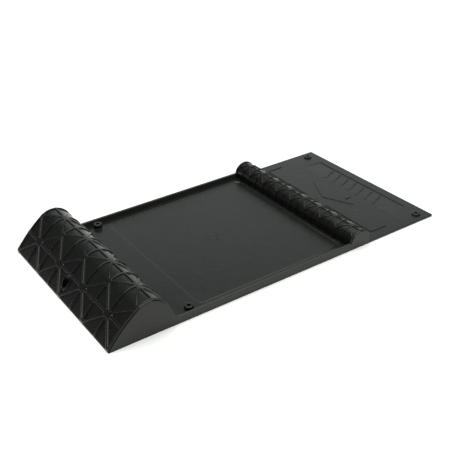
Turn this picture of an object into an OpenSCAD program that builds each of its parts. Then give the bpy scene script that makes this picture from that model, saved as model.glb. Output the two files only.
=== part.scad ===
// Parking stop mat: a flat plastic mat for a garage floor. The tyre rolls over the
// low ridge, settles in the bay and touches the tall wheel stop.
//
// +X runs from the wheel stop to the end panel, +Y across, +Z up. The origin is on
// the ground, at the middle of the mat. All sizes are in millimetres.

/* [Overall] */
// Length of the mat
mat_len = 520; // [510:1:540]
// Width of the mat
mat_w = 268; // [264:1:290]
// Radius of the end panel's outer corners
corner_r = 1; // [0.5:0.5:6]

/* [Sheet] */
// Thickness of the end panel
panel_t = 3; // [2.6:0.1:3.4]
// Thickness of the ledge round the sunk floor
ledge_t = 3.4; // [3.2:0.1:4.5]
// Depth of the sunk floor under the ledge
sunk_depth = 0.8; // [0.6:0.1:1.8]
// Width of the slope round the sunk floor
sunk_slope = 6; // [2:0.5:6]
// Corner radius of the sunk floor
sunk_corner_r = 9; // [7:0.5:14]
// Width of the ledge along the wheel stop
ledge_stop = 36; // [34:1:46]
// Width of the ledge along the ridge
ledge_ridge = 5; // [4:1:16]
// Width of the ledge along each side of the mat
ledge_side = 13; // [10:1:20]

/* [Wheel stop] */
// Height of the wheel stop's skin at its crest
stop_crest = 46.8; // [45:0.1:52]
// Radius of the wheel stop's rounded top
stop_r = 25; // [23:0.5:27]
// Distance from the mat's end to the crest
stop_crest_x = 56; // [54:0.5:58]
// Radius of the slightly domed ramp
ramp_r = 195; // [160:5:300]
// Slope of the wheel stop's back, in degrees from the ground
back_angle = 64; // [60:1:68]
// Height of the ramp's toe
toe_h = 1; // [0.5:0.1:2]
// Wall thickness of the wheel stop and the ridge
shell_t = 3; // [2:0.1:3.5]
// Rounding of the end faces
end_round = 1.5; // [1:0.5:2.5]
// Radius of the fillet behind the wheel stop
back_fillet = 5; // [3:0.5:8]

/* [Ridge] */
// Height of the ridge's skin at its crest
ridge_crest = 24.5; // [22:0.5:30]
// Radius of the ridge's rounded top
ridge_r = 16; // [14:0.5:17]
// Position of the ridge's crest along the mat
ridge_x = 119.5; // [114:0.5:122]

/* [Grip lattice] */
// Height of the lattice on the wheel stop
stop_lattice_h = 1.6; // [0.8:0.1:2]
// Width of the bars on the wheel stop
stop_bar = 2.8; // [1.6:0.1:4]
// Height of the lattice on the ridge
ridge_lattice_h = 1.2; // [0.6:0.1:2]
// Width of the bars on the ridge
ridge_bar = 1.6; // [1:0.1:3]

/* [Side lips] */
// Height of the side lips above the ground
lip_h = 10; // [8:0.5:12]
// Thickness of the side lips
lip_t = 3.5; // [2.5:0.5:4.5]
// Radius of the sweep from a lip up to the wheel stop
lip_sweep = 8; // [5:1:12]

/* [Anchor points] */
// Outer diameter of the anchor bosses
boss_d = 12; // [10:0.5:14]
// Diameter of the screw hole through each anchor point
screw_d = 5; // [4:0.1:6]
// Top of the bay's bosses above the ground
bay_boss_h = 9.5; // [7:0.5:14]
// Top of the end panel's bosses above the ground
panel_boss_h = 5.4; // [4:0.2:8]
// Position of the bay's bosses along the mat
bay_boss_x = -145; // [-146:1:-142]
// Position of the end panel's bosses along the mat
panel_boss_x = 241; // [232:1:244]
// Distance between the two rows of bosses
boss_row = 240; // [224:1:240]
// Inner diameter of the screw well in the ramp
well_d = 12; // [10:0.5:13]
// Distance from the mat's end to the screw well
well_x = 13.5; // [13:0.5:16]

/* [Markings] */
// Height of the raised markings
mark_h = 0.8; // [0.4:0.1:1.5]
// Width of the bracket lines
bracket_line = 2; // [1.5:0.1:3]
// Number of slanted bars
bar_count = 7; // [4:1:9]

/* [Grip strips] */
// Thickness of the strips under the mat
strip_t = 0.8; // [0.5:0.1:1]
// Width of the strips
strip_w = 20; // [12:1:24]
// Length of the strips
strip_len = 210; // [120:5:215]

/* [Hidden] */
$fn = 96;
eps = 0.01;
plastic = [0.1, 0.105, 0.1];
plastic_mark = [0.16, 0.165, 0.16];
strip_rubber = [0.22, 0.22, 0.22];

// Edges of the mat
x_end = -mat_len / 2;
x_far = mat_len / 2;
y_side = mat_w / 2;
y_lip = y_side - lip_t;
y_cavity = y_side - shell_t;

// Wheel stop, seen from the side
toe = [x_end, toe_h];
crest_centre = [x_end + stop_crest_x, stop_crest - stop_r];
// The ramp is an arc from the toe that runs smoothly into the rounded top
toe_run = crest_centre - toe;
toe_dist = norm(toe_run);
ramp_along = (2 * ramp_r * stop_r - stop_r * stop_r + toe_dist * toe_dist) / (2 * toe_dist);
ramp_aside = sqrt(ramp_r * ramp_r - ramp_along * ramp_along);
ramp_centre = toe
    + toe_run * ramp_along / toe_dist
    + [toe_run[1], -toe_run[0]] * ramp_aside / toe_dist;
ramp_top_dir = (crest_centre - ramp_centre) / norm(crest_centre - ramp_centre);
ramp_top_angle = atan2(ramp_top_dir[1], ramp_top_dir[0]);
back_dir = [sin(back_angle), cos(back_angle)];
stop_foot = back_x(0, ledge_t);

// Ridge, seen from the side
ridge_z = ridge_crest - ridge_r;
ridge_front = ridge_x - ridge_r;
ridge_back = ridge_x + ridge_r;

// Grip lattice: spacing of its bars and rows
lattice_end = 1.6;
lattice_half_w = y_side - lattice_end;
stop_pitch = (lattice_half_w - stop_bar / 2) / 4;
stop_row = 20.4;
stop_lattice_x = x_end + 3 * stop_row;
ridge_pitch = stop_pitch / 2;
ridge_row = 14.5;
ramp_steps = 8;
crest_steps = 16;
ridge_steps = 14;

// Stiffening webs inside the hollow ridges
web_t = 2;
web_pitch = stop_pitch;
webs_each_side = 3;

// Screw well
well_cx = x_end + well_x;
well_outer_d = well_d + 4;
well_floor_t = 3;
well_rim = 1.2;

// Sunk band for the slanted bars, which gets deeper towards the mat's far end
band_x0 = 213;
band_x1 = 245.5;
band_y = 94.5;
band_depth = 0.8;
bar_w = 5;
bar_x0 = 215;
bar_x1 = 241;
bar_pitch = 17.5;
bar_lean = 12;
bar_rise = 0.3;

// Arrow, from its tip to its tail
arrow_tip = 168;
arrow_wing = 190;
arrow_tail = 203;
arrow_half_w = 46;
arrow_shaft = 26;

// Brackets beside the arrow
bracket_x = 156;
bracket_gap = 22;
bracket_y = 117;
bracket_leg = 27;

// Moulding marks where the plastic was let in
gate_r = 8;
gate_line = 1;
gate_h = 0.4;
bay_gate_x = -30;
panel_gate_x = 151;

// Grip strips, stuck in shallow seats under the mat
strip_corner_r = 3;
strip_gap = 0.3;
front_strip_x = stop_foot + strip_w / 2 + 3;
middle_strip_x = 0;
rear_strip_x = 185;

// ---- helpers ----

// Extrudes an X-Z outline across the mat from y0 to y1, and cuts it off at the ground
module across(y0, y1) {
    translate([0, y1, 0])
        rotate([90, 0, 0])
            linear_extrude(height = y1 - y0)
                intersection() {
                    children();
                    translate([-mat_len, 0]) square([2 * mat_len, 2 * stop_crest]);
                }
}

// A rectangle about the origin with round corners
module round_rect(size, r) {
    square([size[0] - 2 * r, size[1]], center = true);
    square([size[0], size[1] - 2 * r], center = true);
    for (sx = [-1, 1], sy = [-1, 1])
        translate([sx * (size[0] / 2 - r), sy * (size[1] / 2 - r)])
            circle(r);
}

// A flat bar of width w between two points
module bar(a, b, w) {
    run = b - a;
    translate(a)
        rotate(atan2(run[1], run[0]))
            translate([0, -w / 2])
                square([norm(run), w]);
}

// Screw holes through the sheet, for the bosses at position x
module screw_holes(x) {
    for (side = [-1, 1])
        translate([x, side * boss_row / 2, -1])
            cylinder(d = screw_d, h = ledge_t + 2);
}

// A faint ring left by moulding, on a surface at height z
module gate_mark(x, z) {
    translate([x, 0, z])
        difference() {
            cylinder(r = gate_r, h = gate_h);
            translate([0, 0, -1]) cylinder(r = gate_r - gate_line, h = gate_h + 2);
        }
}

// The part of a circle that bulges above the chord from a to b
module cap(centre, r, a, b) {
    run = b - a;
    up = [-run[1], run[0]];
    intersection() {
        translate(centre) circle(r);
        polygon([a - run, b + run, b + run + 2 * up, a - run + 2 * up]);
    }
}

// Points along an arc that runs from angle a0 to a1 in equal steps, beginning at one of them
function arc_points(centre, r, a0, a1, steps, from = 0) = [
    for (i = [from:steps])
        let (a = a0 + (a1 - a0) * i / steps)
            centre + r * [cos(a), sin(a)]
];

function reversed(points) = [for (i = [len(points) - 1:-1:0]) points[i]];

// ---- outlines in the X-Z plane, moved outward by grow ----

// X of the wheel stop's back at height z
function back_x(grow, z) =
    let (top = crest_centre + (stop_r + grow) * back_dir)
        top[0] + (top[1] - z) / tan(back_angle);

// Angle on the ramp's arc at which it starts, at the mat's end
function ramp_start(grow) = 180 - acos((ramp_centre[0] - x_end) / (ramp_r + grow));

// The line over the wheel stop's skin, from its toe down its back to height end_z
function stop_path(grow, end_z) = concat(
    arc_points(ramp_centre, ramp_r + grow, ramp_start(grow), ramp_top_angle, ramp_steps),
    arc_points(crest_centre, stop_r + grow, ramp_top_angle, 90 - back_angle, crest_steps, 1),
    [[back_x(grow, end_z), end_z]]
);

module stop_outline(grow) {
    polygon(concat(
        [[x_end, -stop_r]],
        stop_path(grow, ledge_t),
        [[back_x(grow, ledge_t), -stop_r]]
    ));
}

// The fillet between the wheel stop's back and a level at height z, let into the stop
module foot_fillet(z, r) {
    corner = [back_x(0, z), z];
    reach = r * tan(back_angle / 2);
    difference() {
        polygon([
            corner - [1, 0],
            corner + [reach, 0],
            corner + reach * [-cos(back_angle), sin(back_angle)],
            corner + reach * [-cos(back_angle), sin(back_angle)] - [1, 0]
        ]);
        translate(corner + [reach, r]) circle(r);
    }
}

module ridge_outline(grow) {
    r = ridge_r + grow;
    cap([ridge_x, ridge_z], r, [ridge_x - r, ridge_z], [ridge_x + r, ridge_z]);
    translate([ridge_x - r, 0]) square([2 * r, ridge_z]);
}

// ---- grip lattice ----

// Triangles seen from above: straight bars along X at every pitch, bars along Y at the
// crest and every second row from it, and two families of diagonals. The diagonals
// cross on the crest at odd multiples of the pitch.
module lattice(crest_x, row, pitch, half_w, w) {
    rows = 3;
    columns = ceil(half_w / pitch);
    x0 = crest_x - rows * row;
    x1 = crest_x + rows * row;
    for (k = [-columns:columns])
        bar([x0, k * pitch], [x1, k * pitch], w);
    for (i = [-2:2:2])
        bar([crest_x + i * row, -half_w], [crest_x + i * row, half_w], w);
    for (k = [-columns - rows:columns + rows], lean = [-rows, rows])
        if (k % 2 != 0)
            bar([x0, (k - lean) * pitch], [x1, (k + lean) * pitch], w);
}

// The line over the ridge's skin, moved outward by grow
function ridge_path(grow) = concat(
    [[ridge_front - grow, ledge_t]],
    arc_points([ridge_x, ridge_z], ridge_r + grow, 180, 0, ridge_steps),
    [[ridge_back + grow, ledge_t]]
);

// ---- wheel stop ----

// The wheel stop's end, rounded except low on the back, where a lip meets it
module stop_end(side) {
    y0 = side * (y_side - end_round);
    y1 = side * y_side;
    keep_z = lip_h + lip_sweep;
    hull() {
        for (turn = [0, 45, 90]) {
            y = y0 + side * (end_round - 2 * eps) * sin(turn);
            across(y - eps, y + eps) stop_outline(-end_round * (1 - cos(turn)));
        }
        across(min(y0, y1), max(y0, y1)) polygon([
            [crest_centre[0], 0],
            [crest_centre[0], keep_z],
            [back_x(0, keep_z), keep_z],
            [stop_foot, ledge_t],
            [stop_foot, 0]
        ]);
    }
}

module wheel_stop() {
    color(plastic) difference() {
        union() {
            across(-y_side + end_round, y_side - end_round) stop_outline(0);
            stop_end(-1);
            stop_end(1);
            across(-y_lip, y_lip) foot_fillet(ledge_t, back_fillet);
        }
        across(-y_cavity, y_cavity) stop_outline(-shell_t);
        translate([well_cx, 0, -1]) cylinder(d = well_outer_d, h = stop_crest);
    }
}

module stop_lattice() {
    end_z = ledge_t + back_fillet;
    color(plastic) difference() {
        intersection() {
            across(-lattice_half_w, lattice_half_w)
                polygon(concat(stop_path(stop_lattice_h, end_z), reversed(stop_path(0, end_z))));
            linear_extrude(height = stop_crest + 2 * stop_lattice_h)
                lattice(stop_lattice_x, stop_row, stop_pitch, lattice_half_w, stop_bar);
        }
        translate([well_cx, 0, -1]) cylinder(d = well_outer_d, h = stop_crest);
    }
}

module stop_webs() {
    color(plastic) difference() {
        union() {
            for (k = [-webs_each_side:webs_each_side])
                across(k * web_pitch - web_t / 2, k * web_pitch + web_t / 2)
                    stop_outline(-shell_t);
            across(-y_cavity, y_cavity) intersection() {
                stop_outline(-shell_t);
                translate([crest_centre[0] - web_t / 2, 0]) square([web_t, stop_crest]);
            }
        }
        translate([well_cx, 0, -1]) cylinder(d = well_outer_d, h = stop_crest);
        translate([x_end, -web_t, -1]) cube([well_x, 2 * web_t, stop_crest]);
    }
}

module screw_well() {
    color(plastic) difference() {
        intersection() {
            translate([well_cx, 0, 0]) cylinder(d = well_outer_d, h = stop_crest);
            across(-well_d, well_d) stop_outline(well_rim);
        }
        translate([well_cx, 0, well_floor_t]) cylinder(d = well_d, h = stop_crest);
        translate([well_cx, 0, -1]) cylinder(d = screw_d, h = well_floor_t + 2);
    }
}

// ---- tyre bay ----

// Seat for a grip strip, a little larger than the strip
module strip_seat(x) {
    translate([x, 0, -1])
        linear_extrude(height = strip_t + 1)
            round_rect([strip_w + 2 * strip_gap, strip_len + 2 * strip_gap], strip_corner_r);
}

module bay_floor() {
    len_x = ridge_front - stop_foot;
    sunk_x = len_x - ledge_stop - ledge_ridge;
    sunk_y = mat_w - 2 * ledge_side;
    sunk_mid = (stop_foot + ledge_stop + ridge_front - ledge_ridge) / 2;
    floor_z = ledge_t - sunk_depth;
    color(plastic) {
        difference() {
            translate([stop_foot, -y_side, 0]) cube([len_x, mat_w, ledge_t]);
            hull() {
                translate([sunk_mid, 0, ledge_t])
                    linear_extrude(height = 1)
                        round_rect([sunk_x, sunk_y], sunk_corner_r, $fn = 32);
                translate([sunk_mid, 0, floor_z])
                    linear_extrude(height = eps)
                        round_rect(
                            [sunk_x - 2 * sunk_slope, sunk_y - 2 * sunk_slope],
                            sunk_corner_r - sunk_slope / 2,
                            $fn = 32
                        );
            }
            screw_holes(bay_boss_x);
            strip_seat(front_strip_x);
            strip_seat(middle_strip_x);
        }
        gate_mark(bay_gate_x, floor_z);
    }
}

// Side lip, which sweeps up into the wheel stop's end face
module side_lip(side) {
    y_inner = side * y_lip;
    y_outer = side * y_side;
    color(plastic)
        across(min(y_inner, y_outer), max(y_inner, y_outer)) difference() {
            union() {
                polygon([
                    [back_x(0, lip_h), lip_h],
                    [stop_foot, ledge_t],
                    [ridge_front, ledge_t],
                    [ridge_front, lip_h]
                ]);
                foot_fillet(lip_h, lip_sweep);
            }
            stop_outline(0);
        }
}

// ---- ridge ----

module ridge_end(side) {
    y0 = y_side - end_round;
    hull()
        for (turn = [0, 45, 90]) {
            inset = end_round * (1 - cos(turn));
            y = side * (y0 + (end_round - eps) * sin(turn));
            across(y - eps, y + eps) {
                union() {
                    ridge_outline(-inset);
                    translate([ridge_front, 0]) square([2 * ridge_r, ridge_z]);
                }
            }
        }
}

module ridge() {
    color(plastic) difference() {
        union() {
            across(-y_side + end_round, y_side - end_round) ridge_outline(0);
            ridge_end(-1);
            ridge_end(1);
        }
        across(-y_cavity, y_cavity) ridge_outline(-shell_t);
    }
}

module ridge_lattice() {
    color(plastic) intersection() {
        across(-lattice_half_w, lattice_half_w)
            polygon(concat(ridge_path(ridge_lattice_h), reversed(ridge_path(0))));
        linear_extrude(height = ridge_crest + 2 * ridge_lattice_h)
            lattice(ridge_x, ridge_row, ridge_pitch, lattice_half_w, ridge_bar);
    }
}

module ridge_webs() {
    color(plastic) {
        for (k = [-webs_each_side:webs_each_side])
            across(k * web_pitch - web_t / 2, k * web_pitch + web_t / 2)
                ridge_outline(-shell_t);
        across(-y_cavity, y_cavity) intersection() {
            ridge_outline(-shell_t);
            translate([ridge_x - web_t / 2, 0]) square([web_t, ridge_crest]);
        }
    }
}

// ---- end panel and its markings ----

module end_panel() {
    len_x = x_far - ridge_back;
    color(plastic) {
        difference() {
            linear_extrude(height = panel_t) {
                translate([ridge_back, -y_side]) square([len_x - corner_r, mat_w]);
                translate([x_far - corner_r - 1, -y_side + corner_r])
                    square([corner_r + 1, mat_w - 2 * corner_r]);
                for (side = [-1, 1])
                    translate([x_far - corner_r, side * (y_side - corner_r)]) circle(corner_r);
            }
            across(-band_y, band_y) polygon([
                [band_x0, panel_t],
                [band_x1, panel_t - band_depth],
                [band_x1, panel_t + 1],
                [band_x0, panel_t + 1]
            ]);
            screw_holes(panel_boss_x);
            strip_seat(rear_strip_x);
        }
        gate_mark(panel_gate_x, panel_t);
    }
}

module arrow_mark() {
    color(plastic_mark)
        translate([0, 0, panel_t])
            linear_extrude(height = mark_h)
                polygon([
                    [arrow_tip, 0],
                    [arrow_wing, arrow_half_w],
                    [arrow_wing, arrow_shaft],
                    [arrow_tail, arrow_shaft],
                    [arrow_tail, -arrow_shaft],
                    [arrow_wing, -arrow_shaft],
                    [arrow_wing, -arrow_half_w]
                ]);
}

module bracket_marks() {
    color(plastic_mark)
        translate([0, 0, panel_t])
            linear_extrude(height = mark_h)
                for (side = [-1, 1]) {
                    corner = [bracket_x, side * bracket_y];
                    bar([bracket_x, side * bracket_gap], corner, bracket_line);
                    bar(corner - [bracket_line / 2, 0], corner + [bracket_leg, 0], bracket_line);
                }
}

// A row of plain slanted bars that stand in the sunk band
module slanted_bars() {
    color(plastic_mark) intersection() {
        linear_extrude(height = panel_t + bar_rise)
            for (i = [0:bar_count - 1]) {
                y = (i - (bar_count - 1) / 2) * bar_pitch;
                polygon([
                    [bar_x0, y - bar_w / 2 - bar_lean / 2],
                    [bar_x0, y + bar_w / 2 - bar_lean / 2],
                    [bar_x1, y + bar_w / 2 + bar_lean / 2],
                    [bar_x1, y - bar_w / 2 + bar_lean / 2]
                ]);
            }
        across(-band_y, band_y) polygon([
            [band_x0, panel_t],
            [band_x1, panel_t - band_depth],
            [band_x1, panel_t + 1],
            [band_x0, panel_t + 1]
        ]);
    }
}

// ---- anchor bosses ----

// A hollow boss that stands on the sheet at height z0 and ends at height z1
module boss(x, side, z0, z1) {
    color(plastic)
        translate([x, side * boss_row / 2, z0])
            difference() {
                cylinder(d = boss_d, h = z1 - z0);
                translate([0, 0, -1]) cylinder(d = screw_d, h = z1 - z0 + 2);
            }
}

// ---- grip strips ----

module grip_strip(x) {
    color(strip_rubber)
        translate([x, 0, 0])
            linear_extrude(height = strip_t)
                round_rect([strip_w, strip_len], strip_corner_r);
}

wheel_stop();
stop_lattice();
stop_webs();
screw_well();
bay_floor();
side_lip(-1);  // side_lip_near
side_lip(1);  // side_lip_far
ridge();
ridge_lattice();
ridge_webs();
end_panel();
boss(bay_boss_x, -1, ledge_t, bay_boss_h);  // boss_bay_near
boss(bay_boss_x, 1, ledge_t, bay_boss_h);  // boss_bay_far
boss(panel_boss_x, -1, panel_t, panel_boss_h);  // boss_panel_near
boss(panel_boss_x, 1, panel_t, panel_boss_h);  // boss_panel_far
arrow_mark();
bracket_marks();
slanted_bars();
grip_strip(front_strip_x);  // grip_strip_front
grip_strip(middle_strip_x);  // grip_strip_middle
grip_strip(rear_strip_x);  // grip_strip_rear
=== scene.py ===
"""Parking stop mat: the visual model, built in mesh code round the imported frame.

Shapes are worked out in millimetres and turned into metres when a mesh is made.
"""
import math

import bmesh
import bpy
from mathutils import Matrix, Vector


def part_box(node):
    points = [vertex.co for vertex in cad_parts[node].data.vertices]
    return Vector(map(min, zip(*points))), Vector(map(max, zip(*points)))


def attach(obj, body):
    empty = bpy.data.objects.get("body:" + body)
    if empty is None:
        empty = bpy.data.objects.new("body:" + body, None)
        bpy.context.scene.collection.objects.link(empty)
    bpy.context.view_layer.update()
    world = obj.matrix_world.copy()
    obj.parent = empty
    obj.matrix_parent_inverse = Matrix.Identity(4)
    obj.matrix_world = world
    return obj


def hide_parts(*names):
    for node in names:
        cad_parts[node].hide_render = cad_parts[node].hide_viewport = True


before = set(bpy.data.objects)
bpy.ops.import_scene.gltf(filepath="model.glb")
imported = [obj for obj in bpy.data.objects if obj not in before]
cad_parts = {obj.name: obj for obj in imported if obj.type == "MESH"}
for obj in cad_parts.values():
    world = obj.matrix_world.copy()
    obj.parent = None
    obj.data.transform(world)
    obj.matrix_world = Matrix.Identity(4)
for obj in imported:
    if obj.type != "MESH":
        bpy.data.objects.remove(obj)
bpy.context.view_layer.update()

MM = 0.001
TINY = 1e-4


def box_mm(node):
    """A CAD node's lowest and highest corner, in millimetres."""
    low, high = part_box(node)
    return Vector(low) / MM, Vector(high) / MM


# ---- places and sizes, read from the frame ----

stop_low, stop_high = box_mm("wheel_stop")
bay_low, bay_high = box_mm("bay_floor")
ridge_low, ridge_high = box_mm("ridge")
panel_low, panel_high = box_mm("end_panel")
lip_low, lip_high = box_mm("side_lip_far")
well_low, well_high = box_mm("screw_well")

X_END = stop_low.x
Y_SIDE = stop_high.y
LEDGE_Z = bay_high.z
PANEL_Z = box_mm("arrow_mark")[0].z
SHELL_T = 3.0
SEAM_R = 0.05  # corners where two regions meet, all but square
END_ROUND = 1.5
SCREW_R = 2.5
BELOW = -5.0

# Screw well
WELL_WALL = 2.0
WELL_RIM = 1.2
WELL_CUT_TOP = 34.0

# Wheel stop, seen from the side
STOP_R = 25.0
RAMP_R = 195.0
BACK = math.radians(64)
STOP_FOOT = bay_low.x
TOE_H = 1.0
CREST_X = X_END + 56.0
BACK_FILLET = 5.0
BACK_FADE = 12.0  # drop down the back over which the rounding of the ends fades out
BACK_RUN = 6.0  # stretch of the back, along X, where the skin is cut across for that
TOE_FADE = 1.0  # stretch at the toe, along X, where the ribs rise out of the skin

# Ridge, seen from the side
RIDGE_R = (ridge_high.x - ridge_low.x) / 2
RIDGE_X = (ridge_high.x + ridge_low.x) / 2
RIDGE_Z = ridge_high.z - RIDGE_R

# Grip lattice
LATTICE_Y = box_mm("stop_lattice")[1].y
STOP_RIB_H = box_mm("stop_lattice")[1].z - stop_high.z
STOP_RIB_W = 2.8
STOP_PITCH = (LATTICE_Y - STOP_RIB_W / 2) / 4
STOP_ROW = 20.4
STOP_LATTICE_FOOT = 2.5
RIDGE_PITCH = STOP_PITCH / 2
RIDGE_ROW = 14.5
RIDGE_RIB_H = box_mm("ridge_lattice")[1].z - ridge_high.z
RIDGE_RIB_W = 1.6

# Radius of a cell's corners, over the width of its ribs
CELL_CORNER = 0.4

# A rib's cross-section: distance from its middle over half its width, and height over its own
RIB_SECTION = [
    (0.0, 1.0), (0.45, 0.98), (0.7, 0.91), (0.87, 0.75), (0.95, 0.42), (1.0, 0.13), (1.06, 0.0),
]

# Sunk floor of the bay
SUNK_LEDGE_STOP = 36.0
SUNK_LEDGE_RIDGE = 5.0
SUNK_LEDGE_SIDE = 13.0
SUNK_DEPTH = 0.8
SUNK_SLOPE = 4.0
SUNK_RIDGE_SLOPE = 1.4
SUNK_START = 0.35  # share of its depth that it has beside the wheel stop
SUNK_R = 9.0

# Side lips
LIP_SWEEP = 8.0
LIP_T = lip_high.y - lip_low.y
LIP_TOP = LEDGE_Z + 6.6
LIP_EDGE = 0.7

# End panel's rounded edge: how far it is drawn in, and at what height of a 3 mm sheet
PANEL_T = 3.0
PANEL_EDGE = [(0.3, 0.0), (0.0, 0.3), (0.0, 2.3), (0.1, 2.65), (0.35, 2.9), (0.7, PANEL_T)]
PANEL_R = 1.2

# Sunk band's sloping edge: how far it is drawn in, and its share of the band's depth
BAND_EDGE = [(0.0, 0.0), (0.12, 0.06), (0.25, 0.25), (0.45, 0.75), (0.6, 0.94), (0.8, 1.0)]
BAND_X0, BAND_X1, BAND_Y = 213.0, 245.5, 94.5
BAND_DEPTH = 0.8
BAND_R = (1.0, 1.2)

# Marks: arrow, corner lines and slanted bars
ARROW_HEAD, ARROW_SHAFT = 22.0, 26.0
BRACKET_LINE, BRACKET_GAP = 2.0, 22.0
BAR_COUNT, BAR_PITCH, BAR_W, BAR_LEAN = 7, 17.5, 5.0, 12.0

# Moulding marks
GATE_R, GATE_LINE, GATE_H = 8.0, 1.0, 0.4
BAY_GATE_X, PANEL_GATE_X = -30.0, 151.0

# Grip strips
STRIP_R = 3.0
SEAT_GAP = 0.3


# ---- materials ----


def link(tree, a, out, b, socket):
    tree.links.new(a.outputs[out], b.inputs[socket])


def noise(tree, where, scale, detail, roughness=0.5):
    """A noise texture in object space."""
    tex = tree.nodes.new("ShaderNodeTexNoise")
    tex.inputs["Scale"].default_value = scale
    tex.inputs["Detail"].default_value = detail
    tex.inputs["Roughness"].default_value = roughness
    link(tree, where, "Object", tex, "Vector")
    return tex


def colour_ramp(tree, source, stops):
    """A colour ramp; stops are (position, grey or colour)."""
    node = tree.nodes.new("ShaderNodeValToRGB")
    elements = node.color_ramp.elements
    while len(elements) < len(stops):
        elements.new(0.5)
    for element, (at, value) in zip(elements, stops):
        colour = value if isinstance(value, tuple) else (value, value, value)
        element.position = at
        element.color = (*colour, 1.0)
    link(tree, source, "Fac", node, "Fac")
    return node


def bump(tree, source, strength, distance, under=None):
    """A bump that follows the source, laid over an earlier bump where there is one."""
    node = tree.nodes.new("ShaderNodeBump")
    node.inputs["Strength"].default_value = strength
    node.inputs["Distance"].default_value = distance
    link(tree, source, "Fac", node, "Height")
    if under:
        link(tree, under, "Normal", node, "Normal")
    return node


def new_material(name):
    """A new material, with its node tree, its shader and its object-space coordinates."""
    material = bpy.data.materials.new(name)
    material.use_nodes = True
    tree = material.node_tree
    return material, tree, tree.nodes["Principled BSDF"], tree.nodes.new("ShaderNodeTexCoord")


def moulded_plastic(name, colours, roughness, grain):
    """Satin moulded plastic: clouded colour, uneven gloss and a fine spark-eroded grain."""
    material, tree, shader, where = new_material(name)

    clouds = noise(tree, where, 22.0, 4.0, 0.6)
    colour = colour_ramp(tree, clouds, [(0.3, colours[0]), (0.7, colours[1])])
    link(tree, colour, "Color", shader, "Base Color")

    flow = noise(tree, where, 60.0, 5.0, 0.65)
    gloss = colour_ramp(tree, flow, [(0.3, roughness[0]), (0.72, roughness[1])])
    link(tree, gloss, "Color", shader, "Roughness")

    waves = bump(tree, noise(tree, where, 90.0, 3.0), 0.25, 0.0006)
    grains = bump(tree, noise(tree, where, 1400.0, 2.0), grain, 0.00012, waves)
    link(tree, grains, "Normal", shader, "Normal")

    shader.inputs["Specular IOR Level"].default_value = 0.4
    shader.inputs["IOR"].default_value = 1.5
    return material


def strip_rubber():
    """Matt rubber with a fine cross-hatched grain."""
    material, tree, shader, where = new_material("grip_rubber")
    clouds = noise(tree, where, 90.0, 3.0)
    colour = colour_ramp(tree, clouds, [(0.3, 0.022), (0.7, 0.034)])
    link(tree, colour, "Color", shader, "Base Color")
    shader.inputs["Roughness"].default_value = 0.85
    hatching = None
    for turn in (45, -45):
        mapping = tree.nodes.new("ShaderNodeMapping")
        mapping.inputs["Rotation"].default_value = (0, 0, math.radians(turn))
        link(tree, where, "Object", mapping, "Vector")
        wave = tree.nodes.new("ShaderNodeTexWave")
        wave.inputs["Scale"].default_value = 260.0
        link(tree, mapping, "Vector", wave, "Vector")
        hatching = bump(tree, wave, 0.5, 0.0003, hatching)
    link(tree, hatching, "Normal", shader, "Normal")
    return material


BLACK = [(0.0056, 0.0064, 0.0056), (0.0078, 0.0088, 0.0078)]
# Lighter copy of the body's black for the side lips: painted light that brightens their shaded
# inner walls. The lips are also rougher.
LIP_BLACK_PAINTED_LIGHT = [(0.0200, 0.0215, 0.0200), (0.0250, 0.0270, 0.0250)]
BODY = moulded_plastic("moulded_body", BLACK, (0.25, 0.31), 0.07)
LIPS_PAINTED_LIGHT = moulded_plastic("moulded_lip_painted_light", LIP_BLACK_PAINTED_LIGHT, (0.50, 0.56), 0.1)
MARKS = moulded_plastic("raised_marks", BLACK, (0.25, 0.30), 0.12)
RUBBER = strip_rubber()


# ---- making pieces ----


def new_object(name, bm):
    """An object whose mesh is bm, turned from millimetres into metres."""
    bmesh.ops.remove_doubles(bm, verts=bm.verts, dist=TINY)
    bmesh.ops.recalc_face_normals(bm, faces=bm.faces)
    bmesh.ops.scale(bm, vec=(MM, MM, MM), verts=bm.verts)
    mesh = bpy.data.meshes.new(name)
    bm.to_mesh(mesh)
    bm.free()
    piece = bpy.data.objects.new(name, mesh)
    bpy.context.scene.collection.objects.link(piece)
    return piece


def combine(piece, operation, tools):
    """Adds the tools to the piece's mesh, or cuts them out of it, and drops them."""
    for tool in tools:
        step = piece.modifiers.new("combine", "BOOLEAN")
        step.operation = operation
        step.solver = "EXACT"
        step.object = tool
    depsgraph = bpy.context.evaluated_depsgraph_get()
    mesh = bpy.data.meshes.new_from_object(piece.evaluated_get(depsgraph))
    piece.modifiers.clear()
    piece.data = mesh
    for tool in tools:
        bpy.data.objects.remove(tool)


def bevel(piece, width, segments=3):
    """Rounds the piece's sharp edges, width in millimetres."""
    step = piece.modifiers.new("bevel", "BEVEL")
    step.width = width * MM
    step.segments = segments
    step.limit_method = "ANGLE"
    step.angle_limit = math.radians(30)


def finish_piece(piece, material, nodes, smooth_angle=42):
    """Shades the piece, gives it its material, and hooks it to the frame."""
    piece.data.materials.clear()
    piece.data.materials.append(material)
    for face in piece.data.polygons:
        face.use_smooth = True
    piece.data.set_sharp_from_angle(angle=math.radians(smooth_angle))
    weigh = piece.modifiers.new("normals", "WEIGHTED_NORMAL")
    weigh.keep_sharp = True
    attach(piece, "root")
    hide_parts(*nodes)


def join_rings(bm, rings):
    """Faces between each closed ring of vertices and the next."""
    for lower, upper in zip(rings, rings[1:]):
        count = len(lower)
        for i in range(count):
            j = (i + 1) % count
            bm.faces.new((lower[i], lower[j], upper[j], upper[i]))


def add_stack(bm, loops):
    """Adds a closed mesh through loops of (x, y, z), with its first and last loop filled."""
    rings = [[bm.verts.new(point) for point in loop] for loop in loops]
    join_rings(bm, rings)
    bm.faces.new(rings[0])
    bm.faces.new(rings[-1])


def stacked(loops):
    """A mesh that holds one such stack."""
    bm = bmesh.new()
    add_stack(bm, loops)
    return bm


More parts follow.
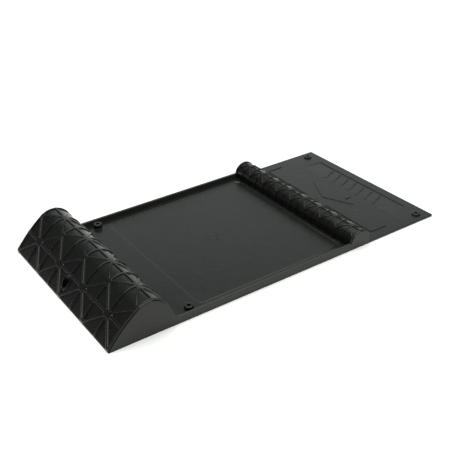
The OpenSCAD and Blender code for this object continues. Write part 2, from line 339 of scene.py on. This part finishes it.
def prism(points, axis, low, high):
    """A closed prism: an outline in the X-Z plane swept along Y, or in the X-Y plane along Z."""
    if axis == "Y":
        return stacked([[(x, level, z) for x, z in points] for level in (low, high)])
    return stacked([at_height(points, level) for level in (low, high)])


def at_height(loop, z):
    return [(x, y, z) for x, y in loop]


def turned(sections, x, y, steps=40):
    """A closed ring-shaped body about an upright axis, through (radius, height) points."""
    bm = bmesh.new()
    rings = [
        [bm.verts.new((px, py, z)) for px, py in circle_points(x, y, r, steps)]
        for r, z in sections
    ]
    join_rings(bm, rings + [rings[0]])
    return bm


def circle_points(x, y, r, steps=40):
    return [
        (x + r * math.cos(2 * math.pi * i / steps), y + r * math.sin(2 * math.pi * i / steps))
        for i in range(steps)
    ]


def cylinder_tool(x, y, r, low, high):
    return new_object("tool", prism(circle_points(x, y, r), "Z", low, high))


def rounded_loop(x0, x1, half_y, r_low, r_high, steps=8):
    """A rectangle's outline with round corners, of radius r_low at x0 and r_high at x1."""
    corners = [
        (x1 - r_high, half_y - r_high, r_high, 0),
        (x0 + r_low, half_y - r_low, r_low, 90),
        (x0 + r_low, -half_y + r_low, r_low, 180),
        (x1 - r_high, -half_y + r_high, r_high, 270),
    ]
    loop = []
    for x, y, r, start in corners:
        for i in range(steps + 1):
            turn = math.radians(start + 90 * i / steps)
            loop.append((x + r * math.cos(turn), y + r * math.sin(turn)))
    return loop


def smooth_step(t):
    t = min(max(t, 0.0), 1.0)
    return t * t * (3 - 2 * t)


# ---- wheel stop and ridge ----


def end_inset(y):
    """How far the skin is drawn in near its end faces, as a quarter-round."""
    past = min(max(abs(y) - (Y_SIDE - END_ROUND), 0.0), END_ROUND)
    return END_ROUND - math.sqrt(END_ROUND ** 2 - past ** 2)


def ramp_arc(crest, toe):
    """Centre of the ramp's arc, which starts at the toe and runs smoothly into the rounded top."""
    run = crest - toe
    along = (2 * RAMP_R * STOP_R - STOP_R ** 2 + run.length_squared) / (2 * run.length)
    aside = math.sqrt(RAMP_R ** 2 - along ** 2)
    unit = run.normalized()
    return toe + unit * along + Vector((unit.y, -unit.x)) * aside


# The stop's outline as (X, Z): the ramp's arc, the rounded top, the straight back
CREST = Vector((CREST_X, stop_high.z - STOP_R))
RAMP_C = ramp_arc(CREST, Vector((X_END, TOE_H)))
RAMP_TOP = math.atan2(CREST.y - RAMP_C.y, CREST.x - RAMP_C.x)
RAMP_TOP_X = CREST.x + STOP_R * math.cos(RAMP_TOP)
BACK_TOP = CREST + STOP_R * Vector((math.sin(BACK), math.cos(BACK)))
LATTICE_X = X_END + 3 * STOP_ROW


def ramp_height(x, grow=0.0):
    """Height of the ramp at x, moved outward by grow."""
    return RAMP_C.y + math.sqrt((RAMP_R + grow) ** 2 - (x - RAMP_C.x) ** 2)


def back_x(z):
    """X of the stop's back at height z."""
    return BACK_TOP.x + (BACK_TOP.y - z) / math.tan(BACK)


def stop_point(u, y, h):
    """A place on the wheel stop: u is X, and h is the height above the skin."""
    if u < X_END:
        return (X_END, y, ramp_height(X_END) - end_inset(y) - (X_END - u))
    grow = h - end_inset(y)
    if u < RAMP_TOP_X:
        start = X_END - RAMP_C.x
        way = Vector((u - RAMP_C.x, ramp_height(u) - RAMP_C.y)).normalized()
        spot = RAMP_C + way * (RAMP_R + grow)
        if spot.x < X_END:
            return (X_END, y, RAMP_C.y + math.sqrt((RAMP_R + grow) ** 2 - start ** 2))
        return (spot.x, y, spot.y)
    if u < BACK_TOP.x:
        way = Vector((u - CREST.x, math.sqrt(STOP_R ** 2 - (u - CREST.x) ** 2))).normalized()
        spot = CREST + way * (STOP_R + grow)
        return (spot.x, y, spot.y)
    if u > STOP_FOOT:
        return (STOP_FOOT, y, LEDGE_Z - (u - STOP_FOOT))
    drop = (u - BACK_TOP.x) * math.tan(BACK)
    kept = 1 - smooth_step(drop / BACK_FADE)
    grow = h - end_inset(y) * kept
    return (u + grow * math.sin(BACK), y, BACK_TOP.y - drop + grow * math.cos(BACK))


def ridge_point(u, y, h):
    """A place on the ridge: u is X over the top and goes on down the two walls.

    The rounding of the ends fades out towards the walls.
    """
    if u < RIDGE_X - RIDGE_R:
        return (RIDGE_X - RIDGE_R - h, y, RIDGE_Z - (RIDGE_X - RIDGE_R - u))
    if u > RIDGE_X + RIDGE_R:
        return (RIDGE_X + RIDGE_R + h, y, RIDGE_Z - (u - RIDGE_X - RIDGE_R))
    turn = math.acos(min(max((u - RIDGE_X) / RIDGE_R, -1.0), 1.0))
    reach = RIDGE_R + h - end_inset(y) * math.sin(turn)
    return (RIDGE_X + reach * math.cos(turn), y, RIDGE_Z + reach * math.sin(turn))


def add_cell(bm, corners, half_w, height, corner_r):
    """One triangle of the lattice: nested loops from the rib middles down to the skin."""
    outer = [bm.verts.new((*p, height)) for p in corners]
    previous = None
    for along, up in RIB_SECTION[1:]:
        loop = []
        for i, p in enumerate(corners):
            before = (corners[i - 1] - p).normalized()
            after = (corners[(i + 1) % 3] - p).normalized()
            middle = (before + after).normalized()
            sine = math.sin(before.angle(after) / 2)
            centre = p + middle * ((along * half_w + corner_r) / sine)
            for side in (before, middle, after):
                out = -middle if side is middle else outward(side, middle)
                loop.append(bm.verts.new((*(centre + out * corner_r), height * up)))
        if previous is None:
            for i in range(3):
                near = loop[3 * i:3 * i + 3]
                bm.faces.new((outer[i], near[0], near[1]))
                bm.faces.new((outer[i], near[1], near[2]))
                bm.faces.new((outer[i], near[2], loop[(3 * i + 3) % 9], outer[(i + 1) % 3]))
        else:
            join_rings(bm, [previous, loop])
        previous = loop
    bm.faces.new(previous)


def outward(side, middle):
    """The unit vector square to a side, pointing away from the middle of the cell."""
    square = Vector((-side.y, side.x))
    return square if square.dot(middle) < 0 else -square


def lattice_sheet(crest, row, pitch, rib_w, rib_h, double_rows):
    """The flat lattice, with u along X, y along Y and the ribs' height along Z."""
    bm = bmesh.new()
    columns = round(Y_SIDE / pitch) + 1

    def node(i, k):
        return Vector((crest + i * row, k * pitch))

    for m in double_rows:
        near, middle, far = 2 * m, 2 * m + 1, 2 * m + 2
        for k in range(-columns, columns):
            even, odd = (k, k + 1) if k % 2 == 0 else (k + 1, k)
            for cell in (
                (node(near, even), node(near, odd), node(middle, even)),
                (node(near, odd), node(far, odd), node(middle, even)),
                (node(far, even), node(far, odd), node(middle, even)),
            ):
                add_cell(bm, cell, rib_w / 2, rib_h, rib_w * CELL_CORNER)
    bmesh.ops.remove_doubles(bm, verts=bm.verts, dist=TINY)
    slice_at(bm, 1, [Y_SIDE], clear_outer=True)
    slice_at(bm, 1, [-Y_SIDE], clear_inner=True)
    return bm


def slice_at(bm, axis, places, clear_outer=False, clear_inner=False):
    """Cuts the mesh by planes square to an axis."""
    for place in places:
        at = Vector((0, 0, 0))
        normal = Vector((0, 0, 0))
        at[axis] = place
        normal[axis] = 1
        bmesh.ops.bisect_plane(
            bm, geom=[*bm.verts, *bm.edges, *bm.faces], dist=TINY, plane_co=at,
            plane_no=normal, clear_outer=clear_outer, clear_inner=clear_inner,
        )


def extend(bm, at, to, flat=False):
    """Carries the sheet's border at u = at on to u = to, with its ribs or without."""
    border = [
        e for e in bm.edges
        if e.is_boundary and all(abs(v.co.x - at) < 10 * TINY for v in e.verts)
    ]
    made = bmesh.ops.extrude_edge_only(bm, edges=border)["geom"]
    for v in made:
        if isinstance(v, bmesh.types.BMVert):
            v.co.x = to
            if flat:
                v.co.z = 0.0


def close_shell(bm):
    """Fills the two end faces and the open underside at ground level."""
    for side in (-Y_SIDE, Y_SIDE):
        rim = [
            e for e in bm.edges
            if e.is_boundary and all(abs(v.co.y - side) < 10 * TINY for v in e.verts)
        ]
        ends = [v for e in rim for v in e.verts if sum(o in rim for o in v.link_edges) == 1]
        rim.append(bm.edges.new(ends))
        bmesh.ops.edgenet_fill(bm, edges=rim)
    slice_at(bm, 2, [0.0], clear_inner=True)
    bmesh.ops.holes_fill(bm, edges=[e for e in bm.edges if e.is_boundary], sides=0)


# Where the skin is cut across, near its end faces, for their rounding and the ribs' ends
END_PLACES = [
    Y_SIDE - END_ROUND + END_ROUND * math.sin(math.radians(a)) for a in (0, 15, 30, 45, 60, 75)
]
FADE_FROM, FADE_TO = LATTICE_Y - 0.3, LATTICE_Y + 0.1
FADE_PLACES = [FADE_FROM, FADE_FROM + 0.2, FADE_TO]


def ribs_down_at_ends(bm):
    """Brings the ribs down to the skin before the end faces."""
    for v in bm.verts:
        v.co.z *= 1 - smooth_step((abs(v.co.y) - FADE_FROM) / (FADE_TO - FADE_FROM))


def bend_over(bm, point):
    """Moves every vertex of the flat sheet to the place that point gives for it."""
    for v in bm.verts:
        v.co = point(*v.co)


def arc_outline(x, z, r, start, end, steps):
    """Points on an arc in the X-Z plane, angles in degrees."""
    turns = [math.radians(start + (end - start) * i / steps) for i in range(steps + 1)]
    return [(x + r * math.cos(t), z + r * math.sin(t)) for t in turns]


def foot_arc(z, r, steps):
    """The arc of radius r between the stop's back and a level at height z, from the back down."""
    centre = back_x(z) + r * math.tan(BACK / 2)
    return arc_outline(centre, z + r, r, 270 - math.degrees(BACK), 270, steps)


def stop_skin():
    """The wheel stop's outside: the flat lattice, bent over its outline and closed."""
    bm = lattice_sheet(LATTICE_X, STOP_ROW, STOP_PITCH, STOP_RIB_W, STOP_RIB_H, (-2, -1, 0))
    lattice_foot = back_x(LEDGE_Z + STOP_LATTICE_FOOT)
    slice_at(bm, 0, [X_END], clear_inner=True)
    slice_at(bm, 0, [lattice_foot], clear_outer=True)
    ramp_steps = [X_END + (RAMP_TOP_X - X_END) * i / 6 for i in range(1, 7)]
    top_steps = [
        CREST.x + STOP_R * math.cos(RAMP_TOP + (math.pi / 2 - BACK - RAMP_TOP) * i / 26)
        for i in range(1, 27)
    ]
    back_steps = [BACK_TOP.x + BACK_RUN * i / 4 for i in range(1, 5)]
    toe_steps = [X_END + TOE_FADE * t for t in (0.3, 0.6, 1.0)]
    slice_at(bm, 0, ramp_steps + top_steps + back_steps + toe_steps)
    slice_at(bm, 1, [side * y for side in (-1, 1) for y in END_PLACES + FADE_PLACES])
    for v in bm.verts:
        v.co.z *= smooth_step((v.co.x - X_END) / TOE_FADE)
    ribs_down_at_ends(bm)
    extend(bm, lattice_foot, lattice_foot, flat=True)
    bmesh.ops.remove_doubles(bm, verts=bm.verts, dist=TINY)
    extend(bm, lattice_foot, STOP_FOOT)
    extend(bm, STOP_FOOT, STOP_FOOT + LEDGE_Z - BELOW)
    extend(bm, X_END, X_END + BELOW - TOE_H)
    bend_over(bm, stop_point)
    close_shell(bm)
    return bm


def stop_cavity():
    """Outline of the hollow under the wheel stop, one wall thickness inside its skin."""
    low = 180 - math.degrees(math.asin((BELOW - RAMP_C.y) / (RAMP_R - SHELL_T)))
    top, tail = math.degrees(RAMP_TOP), 90 - math.degrees(BACK)
    in_foot = STOP_FOOT - SHELL_T / math.sin(BACK)
    outline = arc_outline(RAMP_C.x, RAMP_C.y, RAMP_R - SHELL_T, low, top, 10)
    outline += arc_outline(CREST.x, CREST.y, STOP_R - SHELL_T, top, tail, 20)[1:]
    return outline + [(in_foot, LEDGE_Z), (in_foot, BELOW)]


def stop_fillet():
    """Outline of the fillet between the stop's back and the bay."""
    outline = foot_arc(LEDGE_Z, BACK_FILLET, 8)
    top_x, top_z = outline[0]
    return outline + [(STOP_FOOT - 1, LEDGE_Z), (top_x - 1, top_z)]


def bar_tool(outline, half_y):
    """A tool that runs straight across the mat, with the outline as its X-Z section."""
    return new_object("tool", prism(outline, "Y", -half_y, half_y))


def wheel_stop():
    piece = new_object("wheel_stop_skin", stop_skin())
    combine(piece, "UNION", [bar_tool(stop_fillet(), Y_SIDE - LIP_T)])
    combine(piece, "DIFFERENCE", [bar_tool(stop_cavity(), Y_SIDE - SHELL_T)])
    well = (well_low + well_high) / 2
    well_r = (well_high.x - well_low.x) / 2
    combine(piece, "DIFFERENCE", [cylinder_tool(well.x, well.y, well_r, -1, WELL_CUT_TOP)])
    finish_piece(piece, BODY, ("wheel_stop", "stop_lattice"))


def ridge():
    front, back = RIDGE_X - RIDGE_R, RIDGE_X + RIDGE_R
    bm = lattice_sheet(RIDGE_X, RIDGE_ROW, RIDGE_PITCH, RIDGE_RIB_W, RIDGE_RIB_H, (-1, 0))
    slice_at(bm, 0, [front], clear_inner=True)
    slice_at(bm, 0, [back], clear_outer=True)
    slice_at(bm, 0, [RIDGE_X + RIDGE_R * math.sin(math.radians(a)) for a in range(-84, 85, 6)])
    slice_at(bm, 1, [side * y for side in (-1, 1) for y in END_PLACES + FADE_PLACES])
    ribs_down_at_ends(bm)
    for at, way, floor_z in ((front, -1, LEDGE_Z), (back, 1, PANEL_Z)):
        foot = at + way * (RIDGE_Z - floor_z)
        extend(bm, at, foot)
        extend(bm, foot, foot, flat=True)
        bmesh.ops.remove_doubles(bm, verts=bm.verts, dist=TINY)
        extend(bm, foot, at + way * (RIDGE_Z - BELOW))
    bend_over(bm, ridge_point)
    close_shell(bm)
    piece = new_object("ridge_skin", bm)
    cavity = arc_outline(RIDGE_X, RIDGE_Z, RIDGE_R - SHELL_T, 180, 0, 24)
    cavity = [(cavity[0][0], BELOW), *cavity, (cavity[-1][0], BELOW)]
    combine(piece, "DIFFERENCE", [bar_tool(cavity, Y_SIDE - SHELL_T)])
    finish_piece(piece, BODY, ("ridge", "ridge_lattice"))


def screw_well():
    """A round well with a thick rolled rim that follows the ramp."""
    x = (well_low.x + well_high.x) / 2
    outer_r = (well_high.x - well_low.x) / 2
    inner_r = outer_r - WELL_WALL
    sections = [
        (outer_r, 0.0, False), (outer_r, -0.7, True), (outer_r - 0.2, -0.25, True),
        (outer_r - 0.7, 0.0, True), (inner_r + 0.5, 0.0, True), (inner_r + 0.1, -0.25, True),
        (inner_r, -0.7, True), (inner_r, SHELL_T + 0.6, False), (inner_r - 0.6, SHELL_T, False),
        (SCREW_R + 0.4, SHELL_T, False), (SCREW_R, SHELL_T - 0.4, False), (SCREW_R, 0.0, False),
    ]
    bm = bmesh.new()
    rings = []
    for r, z, on_ramp in sections:
        ring = []
        for px, py in circle_points(x, 0.0, r, 48):
            base = ramp_height(px, WELL_RIM) if on_ramp else 0.0
            ring.append(bm.verts.new((px, py, base + z)))
        rings.append(ring)
    join_rings(bm, rings + [rings[0]])
    finish_piece(new_object("screw_well_tube", bm), BODY, ("screw_well",))


# ---- tyre bay ----


def seat_tool(node):
    """Cuts a grip strip's seat, a little larger than the strip."""
    low, high = box_mm(node)
    loop = rounded_loop(
        low.x - SEAT_GAP, high.x + SEAT_GAP, high.y + SEAT_GAP, STRIP_R, STRIP_R
    )
    return new_object("tool", prism(loop, "Z", -1.0, high.z))


def screw_hole_tool(node, top):
    """Cuts a boss's screw hole through the sheet that the boss stands on."""
    low, high = box_mm(node)
    return cylinder_tool((low.x + high.x) / 2, (low.y + high.y) / 2, SCREW_R, -1, top)


def gate_ring(x, z):
    """A faint half-round ring left by moulding, let into the surface at height z."""
    middle = GATE_R - GATE_LINE / 2
    turns = [math.pi * i / 6 for i in range(7)]
    sections = [
        (middle - GATE_LINE / 2 * math.cos(t), z + GATE_H * math.sin(t)) for t in turns
    ]
    return new_object("ring", turned(sections + [(middle, z - 0.2)], x, 0))


def sunk_share(x):
    """How much of its full depth the sunk floor has at x: it gets deeper towards the ridge."""
    low, high = bay_low.x + SUNK_LEDGE_STOP, bay_high.x - SUNK_LEDGE_RIDGE
    return SUNK_START + (1 - SUNK_START) * (x - low) / (high - low)


def bay_floor():
    x0, x1 = bay_low.x, bay_high.x
    sunk = (x0 + SUNK_LEDGE_STOP, x1 - SUNK_LEDGE_RIDGE, Y_SIDE - SUNK_LEDGE_SIDE)
    outer = rounded_loop(x0, x1, Y_SIDE, SEAM_R, SEAM_R)
    loops = [at_height(outer, 0.0), at_height(outer, LEDGE_Z)]
    # One loop before the slope and one after it keep the flats next to it shaded flat
    for i in range(-1, 10):
        t = i / 8
        inset = SUNK_SLOPE * t
        r = SUNK_R - inset / 2
        drop = SUNK_DEPTH * (0.25 * min(max(t, 0), 1) + 0.75 * smooth_step(t))
        far = sunk[1] - SUNK_RIDGE_SLOPE * t
        loop = rounded_loop(sunk[0] + inset, far, sunk[2] - inset, r, r)
        loops.append([(x, y, LEDGE_Z - drop * sunk_share(x)) for x, y in loop])
    piece = new_object("bay_floor_sheet", stacked(loops))
    tools = [seat_tool("grip_strip_front"), seat_tool("grip_strip_middle")]
    tools += [screw_hole_tool(node, LEDGE_Z + 1) for node in ("boss_bay_near", "boss_bay_far")]
    combine(piece, "DIFFERENCE", tools)
    join_in(piece, gate_ring(BAY_GATE_X, LEDGE_Z - SUNK_DEPTH * sunk_share(BAY_GATE_X)))
    finish_piece(piece, BODY, ("bay_floor",))


def join_in(piece, extra):
    """Puts another object's mesh into the piece's own."""
    bm = bmesh.new()
    bm.from_mesh(piece.data)
    bm.from_mesh(extra.data)
    bm.to_mesh(piece.data)
    bm.free()
    bpy.data.objects.remove(extra)


def side_lip(side, node):
    """A low wall with rounded top edges that sweeps up the wheel stop's back."""
    stations = foot_arc(LIP_TOP, LIP_SWEEP, 12)[1:]
    stations.append((ridge_low.x, LIP_TOP))
    y_in, y_out = Y_SIDE - LIP_T, Y_SIDE
    turns = [math.radians(a) for a in (30, 60, 90)]
    edge = [(LIP_EDGE * (1 - math.cos(a)), LIP_EDGE * (1 - math.sin(a))) for a in turns]
    loops = []
    for x, top in stations:
        base = LEDGE_Z + max(STOP_FOOT - x, 0.0) * math.tan(BACK)
        section = [(y_in, base), (y_in, top - LIP_EDGE)]
        section += [(y_in + inset, top - drop) for inset, drop in edge]
        section += [(y_out - inset, top - drop) for inset, drop in reversed(edge)]
        section += [(y_out, top - LIP_EDGE), (y_out, base)]
        loops.append([(x, side * y, max(z, base)) for y, z in section])
    # The wall takes the lighter black, with painted light on its shaded sides.
    finish_piece(new_object(node + "_wall", stacked(loops)), LIPS_PAINTED_LIGHT, (node,))


# ---- end panel ----


def band_depth(x):
    """The sunk band gets deeper towards the mat's far end."""
    return BAND_DEPTH * (x - BAND_X0) / (BAND_X1 - BAND_X0)


def end_panel():
    x0, x1 = panel_low.x, panel_high.x
    loops = []
    for inset, z in PANEL_EDGE:
        loop = rounded_loop(x0, x1 - inset, Y_SIDE - inset, SEAM_R, PANEL_R - inset)
        loops.append(at_height(loop, PANEL_Z * z / PANEL_T))
    for inset, share in BAND_EDGE:
        loop = rounded_loop(BAND_X0, BAND_X1 - inset, BAND_Y - inset, *BAND_R)
        loops.append([(x, y, PANEL_Z - band_depth(x) * share) for x, y in loop])
    piece = new_object("end_panel_sheet", stacked(loops))
    tools = [seat_tool("grip_strip_rear")]
    tools += [screw_hole_tool(node, PANEL_Z + 1) for node in ("boss_panel_near", "boss_panel_far")]
    combine(piece, "DIFFERENCE", tools)
    join_in(piece, gate_ring(PANEL_GATE_X, PANEL_Z))
    finish_piece(piece, BODY, ("end_panel",))


def arrow_mark():
    low, high = box_mm("arrow_mark")
    wing = low.x + ARROW_HEAD
    outline = [
        (low.x, 0), (wing, high.y), (wing, ARROW_SHAFT), (high.x, ARROW_SHAFT),
        (high.x, -ARROW_SHAFT), (wing, -ARROW_SHAFT), (wing, low.y),
    ]
    piece = new_object("arrow_plate", prism(outline, "Z", low.z, high.z))
    bevel(piece, 0.45)
    finish_piece(piece, MARKS, ("arrow_mark",))


def bracket_marks():
    low, high = box_mm("bracket_marks")
    x_in, y_in = low.x + BRACKET_LINE, high.y - BRACKET_LINE
    outline = [
        (low.x, BRACKET_GAP), (low.x, high.y), (high.x, high.y), (high.x, y_in),
        (x_in, y_in), (x_in, BRACKET_GAP),
    ]
    bm = bmesh.new()
    for side in (-1, 1):
        add_stack(bm, [[(x, side * y, z) for x, y in outline] for z in (low.z, high.z)])
    piece = new_object("bracket_lines", bm)
    bevel(piece, 0.35)
    finish_piece(piece, MARKS, ("bracket_marks",))


def slanted_bars():
    low, high = box_mm("slanted_bars")
    half_w, half_lean = BAR_W / 2, BAR_LEAN / 2
    bm = bmesh.new()
    for i in range(BAR_COUNT):
        y = (i - (BAR_COUNT - 1) / 2) * BAR_PITCH
        outline = [
            (low.x, y - half_w - half_lean), (low.x, y + half_w - half_lean),
            (high.x, y + half_w + half_lean), (high.x, y - half_w + half_lean),
        ]
        foot = [(px, py, PANEL_Z - band_depth(px)) for px, py in outline]
        add_stack(bm, [foot, at_height(outline, high.z)])
    piece = new_object("slanted_bar_row", bm)
    bevel(piece, 0.3)
    finish_piece(piece, MARKS, ("slanted_bars",))


# ---- anchor bosses and grip strips ----


def boss(node):
    """A hollow boss with a rounded rim and a small fillet at its foot."""
    low, high = box_mm(node)
    x, y, r = (low.x + high.x) / 2, (low.y + high.y) / 2, (high.x - low.x) / 2
    z0, z1 = low.z, high.z
    sections = [
        (SCREW_R, z0), (r + 0.5, z0), (r + 0.12, z0 + 0.15), (r, z0 + 0.6),
        (r, z1 - 0.8), (r - 0.12, z1 - 0.4), (r - 0.4, z1 - 0.12), (r - 0.8, z1),
        (SCREW_R + 0.5, z1), (SCREW_R + 0.15, z1 - 0.15), (SCREW_R, z1 - 0.5),
    ]
    tube = new_object(node + "_tube", turned(sections, x, y))
    finish_piece(tube, BODY, (node,))


def grip_strip(node):
    low, high = box_mm(node)
    loops = []
    for inset, z in ((0.4, low.z), (0.0, low.z + 0.3), (0.0, high.z)):
        r = STRIP_R - inset
        loop = rounded_loop(low.x + inset, high.x - inset, high.y - inset, r, r)
        loops.append(at_height(loop, z))
    finish_piece(new_object(node + "_pad", stacked(loops)), RUBBER, (node,))


# ---- stage ----


# Name, place, aim, size in metres, power in watts and colour
LIGHTS = [
    ("top", (0.0, 0.0, 2.5), (0, 0, 0), (3.2, 3.2), 108, (0.97, 1.0, 0.96)),
    ("back", (1.0, 1.5, 0.85), (0, 0, 0), (2.4, 0.9), 4.0, (0.94, 1.0, 0.98)),
    ("low", (1.3, 1.9, 0.25), (0, 0, 0.02), (3.0, 0.5), 4.5, (0.97, 1.0, 0.97)),
    ("key", (1.1, -1.5, 1.0), (0, 0, 0), (1.6, 1.2), 2, (0.97, 1.0, 0.96)),
]
FLOOR_GLOW = 0.15
WORLD_GLOW = 0.08

CAMERA_PLACE = (-0.526481, -0.763864, 0.551761)
CAMERA_TURN = (-34.112, 30.146, -1.273)  # azimuth, elevation and roll, in degrees
CAMERA_LENS = 61.761


def camera():
    """The camera stands off the wheel stop's near corner, with the roll of a hand-held view."""
    azimuth, elevation, roll = (math.radians(a) for a in CAMERA_TURN)
    back = Vector((
        math.sin(azimuth) * math.cos(elevation),
        -math.cos(azimuth) * math.cos(elevation),
        math.sin(elevation),
    ))
    right = Vector((math.cos(azimuth), math.sin(azimuth), 0))
    up = back.cross(right)
    right, up = (
        right * math.cos(roll) + up * math.sin(roll),
        up * math.cos(roll) - right * math.sin(roll),
    )
    data = bpy.data.cameras.new("camera")
    data.sensor_width = 36.0
    data.lens = CAMERA_LENS
    data.clip_start, data.clip_end = 0.01, 50.0
    eye = bpy.data.objects.new("camera", data)
    turn = Matrix((right, up, back)).transposed().to_4x4()
    eye.matrix_world = Matrix.Translation(CAMERA_PLACE) @ turn
    bpy.context.scene.collection.objects.link(eye)
    bpy.context.scene.camera = eye


def area_light(name, place, aim, size, power, colour):
    data = bpy.data.lights.new(name, "AREA")
    data.shape = "RECTANGLE"
    data.size, data.size_y = size
    data.energy = power
    data.color = colour
    lamp = bpy.data.objects.new(name, data)
    lamp.location = place
    lamp.rotation_mode = "QUATERNION"
    lamp.rotation_quaternion = (Vector(aim) - Vector(place)).to_track_quat("-Z", "Y")
    bpy.context.scene.collection.objects.link(lamp)


def stage():
    bpy.ops.mesh.primitive_plane_add(size=14, location=(0, 0, -0.0002))
    floor = bpy.context.object
    floor.name = "floor"
    material = bpy.data.materials.new("pale_floor")
    material.use_nodes = True
    shader = material.node_tree.nodes["Principled BSDF"]
    shader.inputs["Base Color"].default_value = (0.86, 0.86, 0.85, 1)
    shader.inputs["Emission Color"].default_value = (1, 1, 1, 1)
    shader.inputs["Emission Strength"].default_value = FLOOR_GLOW
    shader.inputs["Roughness"].default_value = 0.9
    shader.inputs["Specular IOR Level"].default_value = 0.1
    floor.data.materials.append(material)

    world = bpy.data.worlds.new("studio")
    bpy.context.scene.world = world
    world.use_nodes = True
    background = world.node_tree.nodes["Background"]
    background.inputs["Color"].default_value = (1.0, 1.0, 1.0, 1)
    background.inputs["Strength"].default_value = WORLD_GLOW

    for light in LIGHTS:
        area_light(*light)
    bpy.context.scene.view_settings.view_transform = "Standard"


def main():
    wheel_stop()
    ridge()
    screw_well()
    bay_floor()
    side_lip(-1, "side_lip_near")
    side_lip(1, "side_lip_far")
    end_panel()
    arrow_mark()
    bracket_marks()
    slanted_bars()
    for node in ("boss_bay_near", "boss_bay_far", "boss_panel_near", "boss_panel_far"):
        boss(node)
    for node in ("grip_strip_front", "grip_strip_middle", "grip_strip_rear"):
        grip_strip(node)
    for node in ("stop_webs", "ridge_webs"):
        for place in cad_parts[node].material_slots:
            place.link = "OBJECT"
            place.material = BODY
    camera()
    stage()


main()
